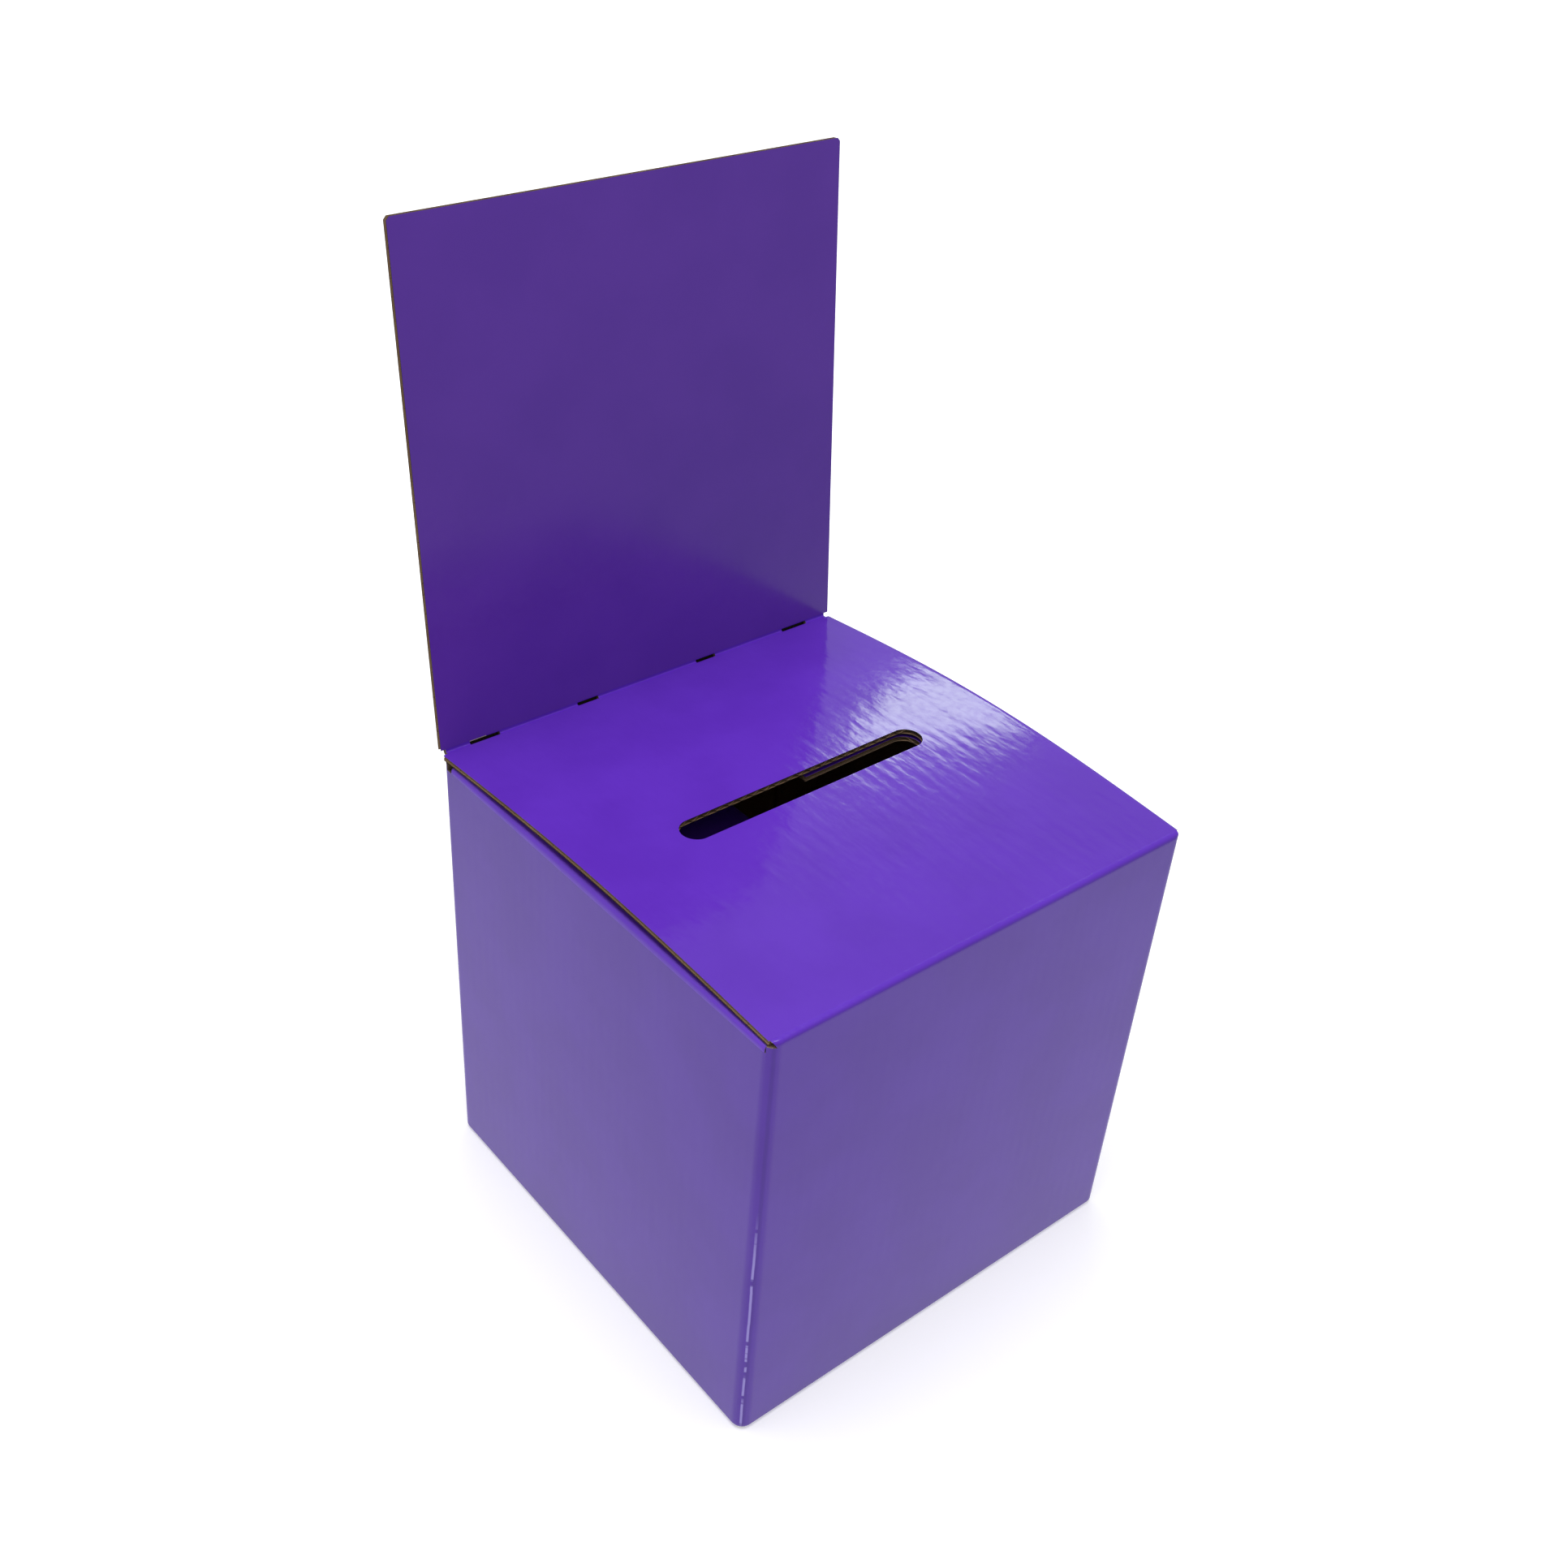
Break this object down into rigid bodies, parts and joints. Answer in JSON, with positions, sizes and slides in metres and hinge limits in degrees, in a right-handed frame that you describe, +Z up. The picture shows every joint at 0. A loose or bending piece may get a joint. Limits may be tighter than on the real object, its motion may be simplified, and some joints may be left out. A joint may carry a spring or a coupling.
{
  "type": "ballot box",
  "caption": "Cube-shaped cardboard ballot box with a slotted, front-hinged lid, a header panel standing behind the slot, folding dust flaps and a snap-lock bottom.",
  "frame": {"origin": "middle of the box's base, on the surface that it stands on", "axes": "+Z up, +Y to the rear, where the header stands, and +X to the right as seen from the front"},
  "size_m": [0.203, 0.224, 0.4089],
  "materials": {
    "purple_print": "glossy print",
    "fluted_paper": "matte",
    "kraft_liner": "matte",
    "creased_board": "glossy print",
    "kraft_board": "matte",
    "dried_glue": "matte"
  },
  "bodies": {
    "box": {"front_wall_printed_liner": "purple_print", "front_wall_fluting": "fluted_paper", "front_wall_inner_liner": "kraft_liner", "left_wall_printed_liner": "purple_print", "left_wall_fluting": "fluted_paper", "left_wall_inner_liner": "kraft_liner", "right_wall_printed_liner": "purple_print", "right_wall_fluting": "fluted_paper", "right_wall_inner_liner": "kraft_liner", "back_wall_printed_liner": "purple_print", "back_wall_fluting": "fluted_paper", "back_wall_inner_liner": "kraft_liner", "front_bottom_printed_liner": "purple_print", "front_bottom_fluting": "fluted_paper", "front_bottom_inner_liner": "kraft_liner", "left_bottom_printed_liner": "purple_print", "left_bottom_fluting": "fluted_paper", "left_bottom_inner_liner": "kraft_liner", "right_bottom_printed_liner": "purple_print", "right_bottom_fluting": "fluted_paper", "right_bottom_inner_liner": "kraft_liner", "rear_bottom_printed_liner": "purple_print", "rear_bottom_fluting": "fluted_paper", "rear_bottom_inner_liner": "kraft_liner", "front_bottom_tongue": "creased_board", "front_left_corner_crease": "creased_board", "front_right_corner_crease": "creased_board", "rear_left_corner_crease": "creased_board", "rear_right_corner_crease": "creased_board", "lid_crease": "creased_board", "left_dust_flap_crease": "creased_board", "right_dust_flap_crease": "creased_board", "front_bottom_crease": "creased_board", "left_bottom_crease": "creased_board", "right_bottom_crease": "creased_board", "rear_bottom_crease": "creased_board", "glue_tab": "kraft_board", "glue_line": "dried_glue"},
    "lid": {"lid_printed_liner": "purple_print", "lid_fluting": "fluted_paper", "lid_inner_liner": "kraft_liner", "header_crease": "creased_board"},
    "header": {"header_printed_liner": "purple_print", "header_fluting": "fluted_paper", "header_inner_liner": "kraft_liner"},
    "left_flap": {"left_dust_flap_printed_liner": "purple_print", "left_dust_flap_fluting": "fluted_paper", "left_dust_flap_inner_liner": "kraft_liner"},
    "right_flap": {"right_dust_flap_printed_liner": "purple_print", "right_dust_flap_fluting": "fluted_paper", "right_dust_flap_inner_liner": "kraft_liner"}
  },
  "joints": [
    {"name": "lid_hinge", "type": "hinge", "parent": "box", "child": "lid", "pos_m": [0, -0.10077, 0.20227], "axis": [1, 0, 0], "range_deg": [0, 165], "deforming": ["lid_crease"]},
    {"name": "header_fold", "type": "hinge", "parent": "lid", "child": "header", "pos_m": [0, 0.103, 0.203], "axis": [1, 0, 0], "range_deg": [-85, 90], "deforming": ["header_crease"]},
    {"name": "left_flap_hinge", "type": "hinge", "parent": "box", "child": "left_flap", "pos_m": [-0.10077, 0, 0.19947], "axis": [0, -1, 0], "range_deg": [0, 91], "deforming": ["left_dust_flap_crease"]},
    {"name": "right_flap_hinge", "type": "hinge", "parent": "box", "child": "right_flap", "pos_m": [0.10077, 0, 0.19947], "axis": [0, 1, 0], "range_deg": [0, 91], "deforming": ["right_dust_flap_crease"]}
  ],
  "couplings": [
    {"joint": "left_flap_hinge", "follows": "lid_hinge", "ratio": 0.55},
    {"joint": "right_flap_hinge", "follows": "lid_hinge", "ratio": 0.55}
  ]
}
